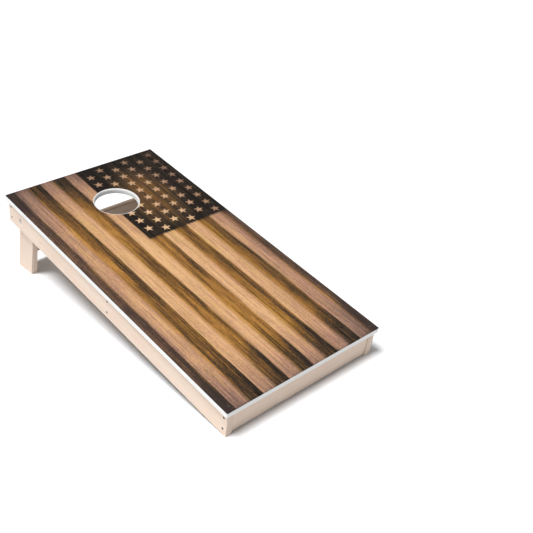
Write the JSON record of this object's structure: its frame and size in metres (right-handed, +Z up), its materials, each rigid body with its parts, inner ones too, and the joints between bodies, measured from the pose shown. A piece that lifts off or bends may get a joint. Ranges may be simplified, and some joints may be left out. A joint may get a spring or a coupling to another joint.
{
  "type": "cornhole board",
  "caption": "Sloping bean-bag toss board with a round bag hole, a timber frame and back legs on a crossbar that fold under the deck.",
  "frame": {"origin": "on the floor, under the middle of the whole object in its playing position", "axes": "+Z up, +Y from the low front end to the high end with the hole, +X to the right of a player who faces the board"},
  "size_m": [0.6096, 1.2564, 0.3159],
  "materials": {
    "printed_plywood": "burned-look flag print under a satin clear coat, white painted edges",
    "pine": "sanded bare pine",
    "zinc_steel": "bright zinc plate",
    "black_screw": "black phosphate",
    "printed_filler": "wood filler sanded flush and printed over with the deck",
    "nylon": "natural nylon"
  },
  "bodies": {
    "board": {"deck": "printed_plywood", "side_rail_left": "pine", "side_rail_right": "pine", "front_rail": "pine", "back_rail": "pine", "centre_brace": "pine", "front_rail_screws": "black_screw", "back_rail_screws": "black_screw", "brace_screws": "black_screw", "deck_screws": "black_screw", "deck_screw_fillers": "printed_filler", "pivot_bolt_left": "zinc_steel", "pivot_bolt_right": "zinc_steel", "spacer_washer_left": "zinc_steel", "spacer_washer_right": "zinc_steel", "nut_washer_left": "zinc_steel", "nut_washer_right": "zinc_steel", "lock_nut_left": "zinc_steel", "lock_nut_right": "zinc_steel", "nylon_ring_left": "nylon", "nylon_ring_right": "nylon"},
    "leg_frame": {"leg_left": "pine", "leg_right": "pine", "leg_crossbar": "pine", "crossbar_screws": "zinc_steel"}
  },
  "joints": [
    {"name": "leg_fold", "type": "hinge", "parent": "board", "child": "leg_frame", "pos_m": [0, 0.50308, 0.23936], "axis": [-1, 0, 0], "range_deg": [0, 98]}
  ]
}
